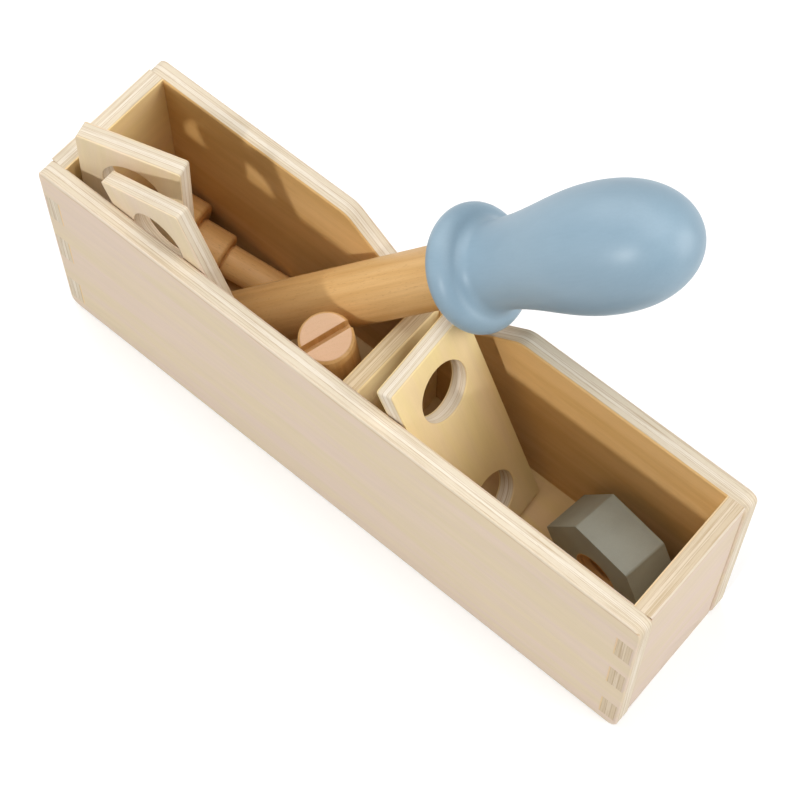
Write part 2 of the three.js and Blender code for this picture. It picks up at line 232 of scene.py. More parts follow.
def flatPlace(node):
    # a board's own axes: its length, its width, and the way through its thickness
    mesh = weldedMesh(node)
    found = []
    for face in mesh.polygons:
        for entry in found:
            if abs(entry[0].dot(face.normal)) > parallel:
                entry[1] += face.area
                break
        else:
            found.append([face.normal.copy(), face.area])
    found.sort(key=lambda entry: -entry[1])
    across = found[0][0]
    across *= 1 if max(across, key=abs) > 0 else -1
    beside = next(normal for normal, area in found if abs(normal.dot(across)) < square)
    along = beside.cross(across)
    along *= 1 if max(along, key=abs) > 0 else -1
    beside = across.cross(along)
    return framed(corners(mesh), [along, beside, across])


def turnedPlace(node, towards):
    # a turned piece's own axes: +Z along it, from its start, on its axis
    cage = bmesh.new()
    cage.from_mesh(weldedMesh(node))
    hull = bmesh.ops.convex_hull(cage, input=cage.verts)["geom"]
    points = np.array([item.co[:] for item in hull if isinstance(item, bmesh.types.BMVert)])
    cage.free()
    middle = points.mean(0)
    axis = Vector(np.linalg.svd(points - middle)[2][0])
    axis *= 1 if axis.dot(Vector(towards)) > 0 else -1
    side = Vector((0, 0, 1)).cross(axis).normalized()
    turn = np.array([side, axis.cross(side), axis]).T
    heights = ((points - middle) @ np.array(axis)).tolist()
    start = Vector(middle) + min(heights) * axis
    place = Matrix.Translation(start) @ Matrix(turn.tolist()).to_4x4()
    return place, max(heights) - min(heights)


# making the pieces


def softened(mesh):
    # smooth shading, but for the sharp edges
    mesh.polygons.foreach_set("use_smooth", [True] * len(mesh.polygons))
    mesh.set_sharp_from_angle(angle=sharpAngle)
    return mesh


def bodyOf(node):
    return frame["nodes"][node]["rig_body"]


def standIn(node, mesh, material, slot):
    # shows this mesh in the CAD node's place
    mesh.name = node + "Mesh"
    mesh.materials.clear()
    mesh.materials.append(material)
    piece = bpy.data.objects.new(node + "_finished", mesh)
    scene.collection.objects.link(piece)
    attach(piece, bodyOf(node))
    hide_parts(node)


def makerOf(node, mesh):
    # an object that is there only until its modifiers are baked
    maker = bpy.data.objects.new(node + "Maker", mesh)
    scene.collection.objects.link(maker)
    return maker


def baked(maker):
    # the maker's evaluated mesh
    depsgraph = bpy.context.evaluated_depsgraph_get()
    mesh = bpy.data.meshes.new_from_object(maker.evaluated_get(depsgraph))
    bpy.data.objects.remove(maker)
    return mesh


def addEasing(maker, width, segments, limit="ANGLE"):
    # rounds over the edges that are sharp or, with the limit "WEIGHT", have a bevel weight
    easing = maker.modifiers.new("easing", "BEVEL")
    easing.width = width
    easing.segments = segments
    easing.limit_method = limit
    easing.angle_limit = easedAngle
    easing.use_clamp_overlap = True
    easing.miter_outer = "MITER_ARC"


def easedCopy(node, width):
    # the CAD node's own shape with its sharp edges rounded over
    maker = makerOf(node, weldedMesh(node))
    addEasing(maker, width, 2)
    return softened(baked(maker))


def fromTree(tree, sizes, node, place, easing=0.0):
    # runs a geometry tree with these sizes, eases it if asked, and puts it in place
    maker = makerOf(node, bpy.data.meshes.new(node + "Blank"))
    modifier = maker.modifiers.new("maker", "NODES")
    modifier.node_group = tree
    for item in tree.interface.items_tree:
        if item.item_type == "SOCKET" and item.in_out == "INPUT" and item.name in sizes:
            modifier[item.identifier] = sizes[item.name]
    if easing:
        addEasing(maker, easing, 3)
    mesh = baked(maker)
    mesh.transform(place)
    cage = bmesh.new()
    cage.from_mesh(mesh)
    bmesh.ops.remove_doubles(cage, verts=cage.verts, dist=mergeReach)
    bmesh.ops.recalc_face_normals(cage, faces=cage.faces)
    cage.to_mesh(mesh)
    cage.free()
    return softened(mesh)


def newTree(name, inputs):
    # a new geometry tree with named inputs, as its sheet and a wire for each input
    tree = bpy.data.node_groups.new(name, "GeometryNodeTree")
    tree.interface.new_socket("Geometry", in_out="OUTPUT", socket_type="NodeSocketGeometry")
    for label, (kind, value) in inputs.items():
        socket = tree.interface.new_socket(label, in_out="INPUT", socket_type="NodeSocket" + kind)
        if value is not None:
            socket.default_value = value
    sheet = Sheet(tree)
    start = sheet.node("NodeGroupInput", output=None)
    wires = {label: Wire(sheet, start.outputs[label]) for label in inputs}
    return sheet, wires


def endTree(sheet, geometry, material):
    whole = sheet.node("GeometryNodeRealizeInstances", values={0: geometry})
    dressed = sheet.node("GeometryNodeSetMaterial", values={"Geometry": whole, "Material": material})
    sheet.node("NodeGroupOutput", values={0: dressed}, output=None)
    return sheet.tree


def merged(sheet, geometry, reach=mergeReach):
    return sheet.node("GeometryNodeMergeByDistance", values={"Geometry": geometry, "Distance": reach})


def unitGrid(sheet, columns, rows):
    # a grid, and wires that run from 0 to 1 across it and up it
    size = {"Size X": 1.0, "Size Y": 1.0, "Vertices X": columns + 1, "Vertices Y": rows + 1}
    grid = sheet.node("GeometryNodeMeshGrid", values=size)
    x, y = sheet.split(sheet.node("GeometryNodeInputPosition"))[:2]
    return grid, x + 0.5, y + 0.5


def wrapped(sheet, grid, turn, radius, height):
    # rolls the grid round +Z at these radii and heights, and closes its seam and any poles
    x = radius * sheet.math("COSINE", turn * math.tau)
    y = radius * sheet.math("SINE", turn * math.tau)
    values = {"Geometry": grid, "Position": sheet.join(x, y, height)}
    return merged(sheet, sheet.node("GeometryNodeSetPosition", values=values))


def slabOf(sheet, outlines, thickness):
    # fills closed outlines and gives them this thickness, half each way
    filled = sheet.node("GeometryNodeFillCurve", {"mode": "NGONS"}, {"Curve": outlines})
    down = sheet.join(0.0, 0.0, thickness * -0.5)
    low = sheet.node("GeometryNodeTransform", values={"Geometry": filled, "Translation": down})
    up = sheet.join(0.0, 0.0, 1.0)
    values = {"Mesh": low, "Offset": up, "Offset Scale": thickness, "Individual": False}
    top = sheet.node("GeometryNodeExtrudeMesh", {"mode": "FACES"}, values)
    base = sheet.node("GeometryNodeFlipFaces", values={"Mesh": low})
    return merged(sheet, sheet.node("GeometryNodeJoinGeometry", values={0: [top, base]}))


# birch plywood

untinted = (1, 1, 1)
birch = {
    "pink": (0.745, 0.59, 0.47),
    "yellow": (0.735, 0.60, 0.41),
    "edge": (0.82, 0.73, 0.60),
    "edgeDeep": (0.735, 0.63, 0.475),
    "streak": (0.50, 0.36, 0.20),
    "glue": (0.46, 0.30, 0.15),
    "worn": (0.58, 0.37, 0.16),
    "inside": (0.76, 0.485, 0.205),
    "insideDeep": (0.655, 0.395, 0.14),
    "plyShares": (0.09, 0.37, 0.62, 0.91),  # the glue lines, as shares of the thickness
    "plySoftness": 0.012,
    "glueShares": (0.004, 0.03),
    "waver": 0.35,  # mm
    "wornDepth": 1.7,  # mm
    "wornSpread": 2.4,  # mm
    "relief": 0.04 * mm,
    "specular": 0.3,
    # changes per mm along the face grain, across it and through the board
    "waverGrain": (0.05, 0.05, 0.05),
    "patchGrain": (0.12, 0.12, 0.5),
    "figureGrain": (0.011, 0.085, 0.085),
    "bandGrain": (0.02, 0.3, 0.3),
    "fibreGrain": (0.25, 3.2, 3.2),
    "wornGrain": (0.028, 0.028, 0.0),
    "gapGrain": (0.05, 0.05, 0.0),
    "lineGrain": (0.022, 0.022, 1.9),
    "fineGrain": (0.3, 0.3, 4.2),
}


def plyMasks(f, depth, thickness):
    # what lies between the two face plies, what lies in the middle ply, and the glue lines
    waver = (f.noise(birch["waverGrain"], 3.0) - 0.5) * birch["waver"]
    level = (depth + waver) / thickness + 0.5
    soft = birch["plySoftness"]
    past = [f.step(level, share - soft, share + soft) for share in birch["plyShares"]]
    glue = sum(1 - f.step(abs(level - share), *birch["glueShares"]) for share in birch["plyShares"])
    return past[0] - past[3], past[1] - past[2], glue


def wornTop(f, face, fall, outer, fibres):
    # the outer face's top is sanded down into the glue and the next ply, in a wavy line
    wave = f.noise(birch["wornGrain"], 4.0, 0.6)
    worn = fall - (wave - 0.5) * birch["wornSpread"] - birch["wornDepth"]
    line = (1 - f.step(abs(worn), 0.05, 0.55)) * f.step(f.noise(birch["gapGrain"]), 0.3, 0.55)
    nextPly = f.mix(fibres * 0.5, birch["edge"], birch["edgeDeep"])
    face = f.mix((1 - f.step(worn, -0.4, 0.2)) * outer * 0.5, face, nextPly)
    return f.mix(line * outer * 0.6, face, birch["worn"])


def plyEdge(f, core, tint):
    # pale, with fine streaks along the plies
    lines = f.noise(birch["lineGrain"], 3.0, 0.6)
    fine = f.noise(birch["fineGrain"], 3.0, 0.6)
    edge = f.mix(core, birch["edgeDeep"], birch["edge"])
    edge = f.mix(f.step(fine, 0.3, 0.75) * 0.5, edge, birch["edge"])
    edge = f.mix(f.step(lines, 0.5, 0.62) * 0.5, edge, birch["streak"])
    edge = f.mix(f.step(fine, 0.54, 0.74) * 0.35, edge, birch["streak"])
    return f.mix(1.0, edge, tint, "MULTIPLY"), fine


def plywood(name, place, size, board):
    # five plies through the board: own X along the face grain, own Z through the thickness.
    # "out" and "top" are +1 or -1 for a box wall's outer face and top edge in its own axes,
    # and "veneer" is half the length of the darker veneer on its inner face, in mm
    f = Finish(name, place)
    along, across, depth = f.split(f.point)
    outward = depth * board["out"]
    edged, core, glue = plyMasks(f, depth, size[2] / mm)

    # face veneer: broad soft figure along the grain, with fine fibres
    figure = f.noise(birch["figureGrain"], 4.0, 0.55, 0.8)
    bands = f.noise(birch["bandGrain"], 3.0, 0.6, 0.3)
    fibres = f.noise(birch["fibreGrain"], 4.0, 0.6)
    face = f.mix(f.step(figure, 0.34, 0.66), birch["yellow"], birch["pink"])
    outer = f.step(outward, 0.0, 0.2)
    # the tints scale the face colour; on the divider and the left end wall's inner face they are painted
    # light
    tint = f.mix(outer, board.get("innerTint", untinted), board.get("outerTint", untinted))
    face = f.mix(1.0, face, tint, "MULTIPLY")
    face = f.shade(face, 0.96 + 0.04 * f.step(bands, 0.25, 0.75) + (fibres - 0.5) * 0.07)
    if "top" in board:
        fall = size[1] / mm / 2 - across * board["top"]
        face = wornTop(f, face, fall, outer, fibres)
    if "veneer" in board:
        veneer = f.mix(f.step(figure, 0.3, 0.7), birch["inside"], birch["insideDeep"])
        veneer = f.shade(veneer, 0.94 + (fibres - 0.5) * 0.18 + (bands - 0.5) * 0.12)
        inner = 1 - f.step(outward, -0.2, 0.0)
        between = 1 - f.step(abs(along), board["veneer"] - 0.1, board["veneer"])
        face = f.mix(inner * between, face, veneer)

    edge, fine = plyEdge(f, core, board.get("edgeTint", untinted))
    colour = f.mix(edged, face, edge)
    patches = f.step(f.noise(birch["patchGrain"]), 0.35, 0.7)
    colour = f.mix(glue * (0.25 + patches * 0.4), colour, birch["glue"])
    roughness = 0.58 + edged * 0.1 + (fibres - 0.5) * 0.12
    height = fibres * 0.4 - edged * fine * 0.8
    return f.surface(colour, roughness, height, birch["relief"], birch["specular"])


# beech

beech = {
    "light": (0.72, 0.445, 0.185),
    "dark": (0.62, 0.355, 0.125),
    "fleck": (0.42, 0.21, 0.075),
    "ends": (0.755, 0.475, 0.285),
    "ringWidth": 2.3,  # mm
    "pith": (21.0, -13.0),  # where the rings' middle is, mm from the piece's axis
    "wander": 3.0,  # mm
    "endSkin": 0.25,  # how deep the end grain's colour goes, mm
    "endBlend": 0.12,  # mm
    "relief": 0.03 * mm,
    "specular": 0.4,
    # changes per mm across the piece, twice, and along it
    "wanderGrain": (0.05, 0.05, 0.012),
    "fibreGrain": (2.6, 2.6, 0.09),
    "streakGrain": (0.45, 0.45, 0.02),
    "fleckGrain": (3.4, 3.4, 0.55),
    "poreGrain": (4.5, 4.5, 1.0),
}


def solidBeech(name, place, length=None, shade=1.0):
    # own Z along the piece, so its side shows long grain and ray flecks. With a length in mm,
    # its two end faces show pinkish end grain with faint rings and fine pores
    f = Finish(name, place)
    x, y, z = f.split(f.point)
    outX = x - beech["pith"][0]
    outY = y - beech["pith"][1]
    wander = f.noise(beech["wanderGrain"], 3.0) * beech["wander"]
    reach = f.math("SQRT", outX * outX + outY * outY) + wander
    rings = f.math("FRACT", reach / beech["ringWidth"])
    late = f.step(rings, 0.55, 0.98) - f.step(rings, 0.98, 1.0)
    fibres = f.noise(beech["fibreGrain"], 4.0, 0.6)
    streaks = f.noise(beech["streakGrain"], 3.0, 0.55)
    flecks = f.step(f.noise(beech["fleckGrain"], 1.0, 0.4), 0.63, 0.74)
    base = f.mix(f.step(streaks, 0.3, 0.7) * 0.7 + late * 0.3, beech["light"], beech["dark"])
    # a shade above 1 is painted light, lifting a piece that lies in shade
    colour = f.shade(base, (0.95 + (fibres - 0.5) * 0.22) * shade)
    colour = f.mix(flecks * 0.35, colour, beech["fleck"])
    if length:
        pores = f.step(f.noise(beech["poreGrain"], 2.0, 0.5), 0.58, 0.72)
        endGrain = f.mix(late * 0.07, beech["ends"], beech["dark"])
        endGrain = f.shade(endGrain, 0.98 + (fibres - 0.5) * 0.12)
        endGrain = f.mix(pores * 0.22, endGrain, beech["fleck"])
        skin, far = beech["endSkin"], length - beech["endSkin"]
        atStart = 1 - f.step(z, skin, skin + beech["endBlend"])
        atFarEnd = f.step(z, far, far + beech["endBlend"])
        colour = f.mix(atStart + atFarEnd, colour, endGrain)
    roughness = 0.46 + (fibres - 0.5) * 0.16 + flecks * 0.08
    height = fibres * 0.6 - flecks * 0.6
    return f.surface(colour, roughness, height, beech["relief"], beech["specular"])


# box

alongX, alongY, alongZ = (1, 0, 0), (0, 1, 0), (0, 0, 1)
# "grain" is the way that the face grain runs, and "through" the way through the thickness
boards = {
    "near_wall": {
        "grain": alongX,
        "through": alongY,
        "out": -1,
        "top": -1,
        "outerTint": (1.07, 1.08, 1.09),
    },
    "far_wall": {
        "grain": alongX,
        "through": alongY,
        "out": 1,
        "top": -1,
        "veneer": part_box("bottom_board")[1].x / mm,
    },
    "left_end_wall": {
        "grain": alongY,
        "through": alongX,
        "out": -1,
        "top": 1,
        # its inner face lighter and warmer than plain birch: painted warm bounce light from the box's
        # inside
        "innerTint": (1.2, 1.1, 0.74),
    },
    "right_end_wall": {
        "grain": alongY,
        "through": alongX,
        "out": 1,
        "top": 1,
        "outerTint": (0.98, 0.98, 1.03),
        "innerTint": (1.1, 1.02, 0.8),
        "edgeTint": (0.92, 0.86, 0.78),
    },
    "bottom_board": {
        "grain": alongX,
        "through": alongZ,
        "out": -1,
        "innerTint": (1.0, 0.87, 0.56),
    },
    "divider": {
        "grain": alongY,
        "through": alongX,
        "out": 1,
        # its faces lighter and warmer, and its edges darker and warmer, than plain birch: painted warm
        # bounce light from the box's inside, and painted shade on its edges
        "outerTint": (1.28, 1.26, 0.98),
        "innerTint": (1.2, 1.16, 0.84),
        "edgeTint": (0.93, 0.87, 0.73),
    },
}
joinery = {
    "ease": 0.16 * mm,
    "seam": 0.025 * mm,
    "chamfer": 0.45 * mm,  # as on the CAD long walls
    "mortiseRoom": 0.4 * mm,  # more than the CAD mortises leave round their tenons
    "tenonReach": 1 * mm,  # less than the tenons stand out of the box's inside
    "longEdge": 10 * mm,  # longer than any edge of a tenon or chamfer
    "touch": 0.01 * mm,
    "cutReach": 1e-7,
}
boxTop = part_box("near_wall")[1].z
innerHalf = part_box("bottom_board")[1].y
endWalls = {side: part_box(side + "_end_wall") for side in ("left", "right")}
# the heights at which the tenons begin and end, from the lowest up
tenonEnds = sorted({
    round(vertex.co.z, 6)
    for vertex in weldedMesh("left_end_wall").vertices
    if vertex.co.y > innerHalf + joinery["tenonReach"]
})


def tenonCorner(point):
    # where a long wall's mortise corner goes, to be a seam away from the tenon in it
    room = joinery["mortiseRoom"]
    for low, high in endWalls.values():
        for i, z in enumerate(tenonEnds):
            for x, outX in ((low.x, -1), (high.x, 1)):
                if abs(point.x - x) < room and abs(point.z - z) < room:
                    outZ = -1 if i % 2 == 0 else 1
                    return x + outX * joinery["seam"], z + outZ * joinery["seam"]
    return None


def closeMortises(cage):
    # moves the mortises' corners to a seam's width from their tenons, and returns them
    moved = set()
    for vertex in cage.verts:
        corner = tenonCorner(vertex.co)
        if corner:
            vertex.co.x, vertex.co.z = corner
            moved.add(vertex)
    return moved


def fillChamfers(cage):
    # an end wall's top corners fill the chamfers of the long walls at the glued joints
    parts = [*cage.verts, *cage.edges, *cage.faces]
    cut = (0, 0, boxTop - joinery["chamfer"])
    bmesh.ops.bisect_plane(cage, geom=parts, plane_co=cut, plane_no=alongZ, dist=joinery["cutReach"])
    for vertex in cage.verts:
        if vertex.co.z > boxTop - joinery["touch"]:
            vertex.co.y += math.copysign(joinery["chamfer"], vertex.co.y)


def isFree(edge, held, isEnd):
    # whether a board's edge is open to be rounded: not at a mortise, nor on a tenon
    first, second = edge.verts
    if not edge.is_manifold or edge.calc_face_angle() <= easedAngle:
        return False
    if isEnd:
        off = [min(abs(vertex.co.z - boxTop), abs(vertex.co.z)) for vertex in edge.verts]
        return max(off) < joinery["touch"] and abs(first.co.y - second.co.y) > joinery["longEdge"]
    return not (first in held and second in held)


def boardMesh(node):
    # the CAD board with its mortises closed to a seam and its free edges finely rounded
    mesh = weldedMesh(node)
    cage = bmesh.new()
    cage.from_mesh(mesh)
    isEnd = node.endswith("end_wall")
    held = set()
    if isEnd:
        fillChamfers(cage)
    elif node.endswith("wall"):
        held = closeMortises(cage)
    weight = cage.edges.layers.float.new("bevel_weight_edge")
    for edge in cage.edges:
        edge[weight] = 1.0 if isFree(edge, held, isEnd) else 0.0
    cage.to_mesh(mesh)
    cage.free()
    maker = makerOf(node, mesh)
    addEasing(maker, joinery["ease"], 2, "WEIGHT")
    return softened(baked(maker))


for node, board in boards.items():
    grain, through = Vector(board["grain"]), Vector(board["through"])
    mesh = boardMesh(node)
    place, size = framed(corners(weldedMesh(node)), [grain, through.cross(grain), through])
    material = plywood(node + "Ply", place, size, board)
    standIn(node, mesh, material, "birch_ply_inside" if node == "bottom_board" else "birch_ply")
print("box:", len(boards), "boards of plywood")

# perforated plates

plate = {
    "Corner Radius": 1.0 * mm,
    "Corner Steps": 10,
    "Hole Radius": 10.3 * mm,
    "Hole Inset": 17.6 * mm,
    "Hole Steps": 96,
    "Ease": 0.32 * mm,
}
plateTints = {
    "plate_leaning": (1.12, 1.08, 0.76),
    "plate_left": (1.1, 1.1, 1.02),
    "plate_tilted": (1.1, 1.11, 1.09),
}


def plateTree():
    sheet, given = newTree("perforatedPlate", {
        "Length": ("Float", None),
        "Width": ("Float", None),
        "Thickness": ("Float", None),
        "Corner Radius": ("Float", plate["Corner Radius"]),
        "Hole Radius": ("Float", plate["Hole Radius"]),
        "Hole Inset": ("Float", plate["Hole Inset"]),
        "Hole Steps": ("Int", plate["Hole Steps"]),
        "Material": ("Material", None),
    })
    size = {"Width": given["Length"], "Height": given["Width"]}
    outline = sheet.node("GeometryNodeCurvePrimitiveQuadrilateral", {"mode": "RECTANGLE"}, size)
    values = {"Curve": outline, "Radius": given["Corner Radius"], "Count": plate["Corner Steps"]}
    outline = sheet.node("GeometryNodeFilletCurve", {"mode": "POLY"}, values)
    values = {"Resolution": given["Hole Steps"], "Radius": given["Hole Radius"]}
    hole = sheet.node("GeometryNodeCurvePrimitiveCircle", {"mode": "RADIUS"}, values)
    reach = given["Length"] * 0.5 - given["Hole Inset"]
    holes = []
    for end in (-1, 1):
        values = {"Geometry": hole, "Translation": sheet.join(reach * end, 0.0, 0.0)}
        holes.append(sheet.node("GeometryNodeTransform", values=values))
    outlines = sheet.node("GeometryNodeJoinGeometry", values={0: [outline, *holes]})
    return endTree(sheet, slabOf(sheet, outlines, given["Thickness"]), given["Material"])


perforatedPlate = plateTree()
for node, tint in plateTints.items():
    place, size = flatPlace(node)
    material = plywood(node + "Ply", place, size, {"out": 1, "outerTint": tint, "innerTint": tint})
    sizes = {"Length": size[0], "Width": size[1], "Thickness": size[2], "Material": material}
    mesh = fromTree(perforatedPlate, sizes, node, place, plate["Ease"])
    standIn(node, mesh, material, "birch_ply")
print("plates:", len(plateTints))

# screwdriver

handle = {
    "Flange Radius": 19.88 * mm,
    "Flange Half Thickness": 5.6 * mm,
    "Neck Radius": 13.57 * mm,
    "Neck Fillet": 4.5 * mm,
    "Bulb Radius": 18.97 * mm,
    "Bulb At": 50.6 * mm,
    "End At": 81.8 * mm,
    "End Power": 2.28,
    "Socket Radius": 10.04 * mm,
    "Socket Depth": 34.0 * mm,
}
# faces along each stretch of the handle's outline, and round it
handleRings = {"front": 6, "rim": 22, "fillet": 12, "swell": 56, "end": 44}
handleSides = {"body": 128, "socket": 96}
bluePaint = {
    "light": (0.275, 0.39, 0.475),
    "deep": (0.24, 0.35, 0.435),
    "contrast": 0.10,
    "roughness": 0.40,
    "relief": 0.035 * mm,
    "specular": 0.45,
    # changes per mm across the handle, twice, and along it
    "cloudGrain": (0.06, 0.06, 0.03),
    "woodGrain": (1.5, 1.5, 0.16),
    "turningGrain": (0.2, 0.2, 2.4),
}
shaftEase = 0.3 * mm


def paintedWood(f, paint):
    # satin paint through which the wood's grain shows faintly: its colour, roughness and grain
    cloud = f.noise(paint["cloudGrain"], 3.0)
    grain = f.noise(paint["woodGrain"], 4.0, 0.6)
    colour = f.mix(f.step(cloud, 0.3, 0.7), paint["light"], paint["deep"])
    colour = f.shade(colour, 1.0 + (grain - 0.5) * paint["contrast"])
    return colour, paint["roughness"] + (grain - 0.5) * 0.14, grain


def paintedBlue(name, place):
    # own Z along the handle, with faint turning lines round it
    f = Finish(name, place)
    colour, roughness, grain = paintedWood(f, bluePaint)
    height = grain * 0.6 + f.noise(bluePaint["turningGrain"]) * 0.25
    return f.surface(colour, roughness, height, bluePaint["relief"], bluePaint["specular"])


def handleTree():
    # the turned outline from the flange's front to the bulb's end, bored for the shaft
    inputs = {label: ("Float", value) for label, value in handle.items()}
    inputs["Socket Turn"] = ("Vector", None)
    inputs["Material"] = ("Material", None)
    sheet, given = newTree("turnedHandle", inputs)
    rings = sum(handleRings.values())
    grid, turn, climb = unitGrid(sheet, handleSides["body"], rings)
    stretch, passed = {}, 0
    for name, count in handleRings.items():
        stretch[name] = sheet.share(climb, passed / rings, (passed + count) / rings)
        passed += count
    half = given["Flange Half Thickness"]
    flat = given["Flange Radius"] - half
    hollow = given["Neck Fillet"]
    side = given["Neck Radius"] + hollow - flat
    neckAt = sheet.math("SQRT", (half + hollow) ** 2.0 - side * side)
    rimEnd = sheet.math("ARCTAN2", neckAt, side)
    rim = (rimEnd + math.pi / 2) * stretch["rim"] - math.pi / 2
    fillet = rimEnd * (1 - stretch["fillet"])
    swell = stretch["swell"] * math.pi
    end = sheet.math("SINE", stretch["end"] * (math.pi / 2))
    bluntness = sheet.math("SQRT", sheet.math("MAXIMUM", 1 - end ** given["End Power"], 0.0))
    radius = (
        flat * stretch["front"]
        + half * sheet.math("COSINE", rim)
        + hollow * (sheet.math("COSINE", rimEnd) - sheet.math("COSINE", fillet))
        + (given["Bulb Radius"] - given["Neck Radius"]) * (1 - sheet.math("COSINE", swell)) * 0.5
        - given["Bulb Radius"] * (1 - bluntness)
    )
    height = (
        half * sheet.math("SINE", rim)
        + hollow * (sheet.math("SINE", rimEnd) - sheet.math("SINE", fillet))
        + (given["Bulb At"] - neckAt) * stretch["swell"]
        + (given["End At"] - given["Bulb At"]) * end
    )
    body = wrapped(sheet, grid, turn, radius, height)
    depth = (given["Socket Depth"] - half) * 2
    values = {"Vertices": handleSides["socket"], "Radius": given["Socket Radius"], "Depth": depth}
    cutter = sheet.node("GeometryNodeMeshCylinder", values=values)
    values = {"Geometry": cutter, "Rotation": given["Socket Turn"]}
    cutter = sheet.node("GeometryNodeTransform", values=values)
    values = {"Mesh 1": body, "Mesh 2": cutter}
    settings = {"operation": "DIFFERENCE", "solver": "EXACT"}
    bored = sheet.node("GeometryNodeMeshBoolean", settings, values)
    return endTree(sheet, bored, given["Material"])


screwdriverAxis = next(j for j in frame["joints"] if j["child"] == bodyOf("driver_shaft"))["axis"]
handlePlace, handleLength = turnedPlace("driver_handle", screwdriverAxis)
handlePlace @= Matrix.Translation((0, 0, handle["Flange Half Thickness"]))
shaftPlace, shaftLength = turnedPlace("driver_shaft", screwdriverAxis)
material = paintedBlue("bluePaint", handlePlace)
shaftInHandle = handlePlace.inverted().to_3x3() @ shaftPlace.to_3x3()
sizes = {"Material": material, "Socket Turn": shaftInHandle.to_euler()}
mesh = fromTree(handleTree(), sizes, "driver_handle", handlePlace)
standIn("driver_handle", mesh, material, "blue_paint")

material = solidBeech("shaftBeech", shaftPlace)
standIn("driver_shaft", easedCopy("driver_shaft", shaftEase), material, "beech")
print("screwdriver: handle", round(handleLength / mm, 1), "mm, shaft", round(shaftLength / mm, 1), "mm")

# bolts

boltEase = 0.4 * mm
# shade scales each bolt's beech colour; the stepped bolt's 1.3 is painted light, lightening it where it
# lies in the box's shadow
bolts = {
    "slotted_bolt": {"slot": "pale_beech", "towards": alongZ, "shade": 1.05},
    "stepped_bolt": {"slot": "beech", "towards": alongX, "shade": 1.3},
}
for node, bolt in bolts.items():
    place, length = turnedPlace(node, bolt["towards"])
    material = solidBeech(node + "Beech", place, length / mm, bolt["shade"])
    standIn(node, easedCopy(node, boltEase), material, bolt["slot"])
print("bolts:", len(bolts))

# nut

nut = {
    "Bore Radius": 8.3 * mm,
    "Corner Radius": 1.1 * mm,
    "Corner Steps": 6,
    "Thread Depth": 0.9 * mm,
    "Thread Pitch": 3.0 * mm,
    "Run Out": 0.1,  # the share of the bore in which the thread fades at each end
    "Ease": 0.55 * mm,
    "Steps": 96,
    "Rings": 132,
    "Rim Reach": 0.004 * mm,  # how far the thread's rims may be from the bore's
}
greyPaint = {
    "light": (0.31, 0.32, 0.27),
    "deep": (0.27, 0.275, 0.225),
    "contrast": 0.12,
    "roughness": 0.48,
    "relief": 0.05 * mm,
    "specular": 0.4,
    "paintStart": (0.05, 0.35),  # how far outside the bore it begins and is full, mm
    # changes per mm along the wood's grain, across it and along the bore
    "cloudGrain": (0.08, 0.08, 0.08),
    "woodGrain": (0.35, 2.4, 2.4),
}


def paintedGrey(name, place):
    # own Z along the bore: painted outside, and bare wood in the bore
    f = Finish(name, place)
    colour, roughness, grain = paintedWood(f, greyPaint)
    x, y = f.split(f.point)[:2]
    reach = f.math("SQRT", x * x + y * y)
    wood = f.shade(f.mix(grain, beech["light"], beech["dark"]), 0.8 + grain * 0.3)
    start, end = [nut["Bore Radius"] / mm + far for far in greyPaint["paintStart"]]
    colour = f.mix(1 - f.step(reach, start, end), colour, wood)
    return f.surface(colour, roughness, grain, greyPaint["relief"], greyPaint["specular"])


def nutTree():
    sheet, given = newTree("threadedNut", {
        "Across Flats": ("Float", None),
        "Thickness": ("Float", None),
        "Bore Radius": ("Float", nut["Bore Radius"]),
        "Corner Radius": ("Float", nut["Corner Radius"]),
        "Thread Depth": ("Float", nut["Thread Depth"]),
        "Thread Pitch": ("Float", nut["Thread Pitch"]),
        "Material": ("Material", None),
    })
    size = {"Resolution": 6, "Radius": given["Across Flats"] / (2 * math.cos(math.pi / 6))}
    hexagon = sheet.node("GeometryNodeCurvePrimitiveCircle", {"mode": "RADIUS"}, size)
    values = {"Curve": hexagon, "Radius": given["Corner Radius"], "Count": nut["Corner Steps"]}
    hexagon = sheet.node("GeometryNodeFilletCurve", {"mode": "POLY"}, values)
    size = {"Resolution": nut["Steps"], "Radius": given["Bore Radius"]}
    mouth = sheet.node("GeometryNodeCurvePrimitiveCircle", {"mode": "RADIUS"}, size)
    outlines = sheet.node("GeometryNodeJoinGeometry", values={0: [hexagon, mouth]})
    slab = slabOf(sheet, outlines, given["Thickness"])
    # the plain bore wall gives way to a threaded one with the same rims
    normal = sheet.split(sheet.node("GeometryNodeInputNormal"))[2]
    x, y = sheet.split(sheet.node("GeometryNodeInputPosition"))[:2]
    reach = sheet.math("SQRT", x * x + y * y)
    inBore = sheet.math("LESS_THAN", reach, given["Bore Radius"] * 1.05)
    plain = inBore * sheet.math("LESS_THAN", abs(normal), 0.5)
    values = {"Geometry": slab, "Selection": plain}
    slab = sheet.node("GeometryNodeDeleteGeometry", {"domain": "FACE", "mode": "ONLY_FACE"}, values)
    grid, turn, climb = unitGrid(sheet, nut["Steps"], nut["Rings"])
    height = (climb - 0.5) * given["Thickness"]
    phase = turn + height / given["Thread Pitch"]
    crest = (1 - sheet.math("COSINE", phase * math.tau)) * 0.5
    fade = sheet.step(climb, 0.0, nut["Run Out"]) * sheet.step(1 - climb, 0.0, nut["Run Out"])
    radius = given["Bore Radius"] - given["Thread Depth"] * crest * fade
    thread = wrapped(sheet, grid, turn, radius, height)
    whole = sheet.node("GeometryNodeJoinGeometry", values={0: [slab, thread]})
    return endTree(sheet, merged(sheet, whole, nut["Rim Reach"]), given["Material"])


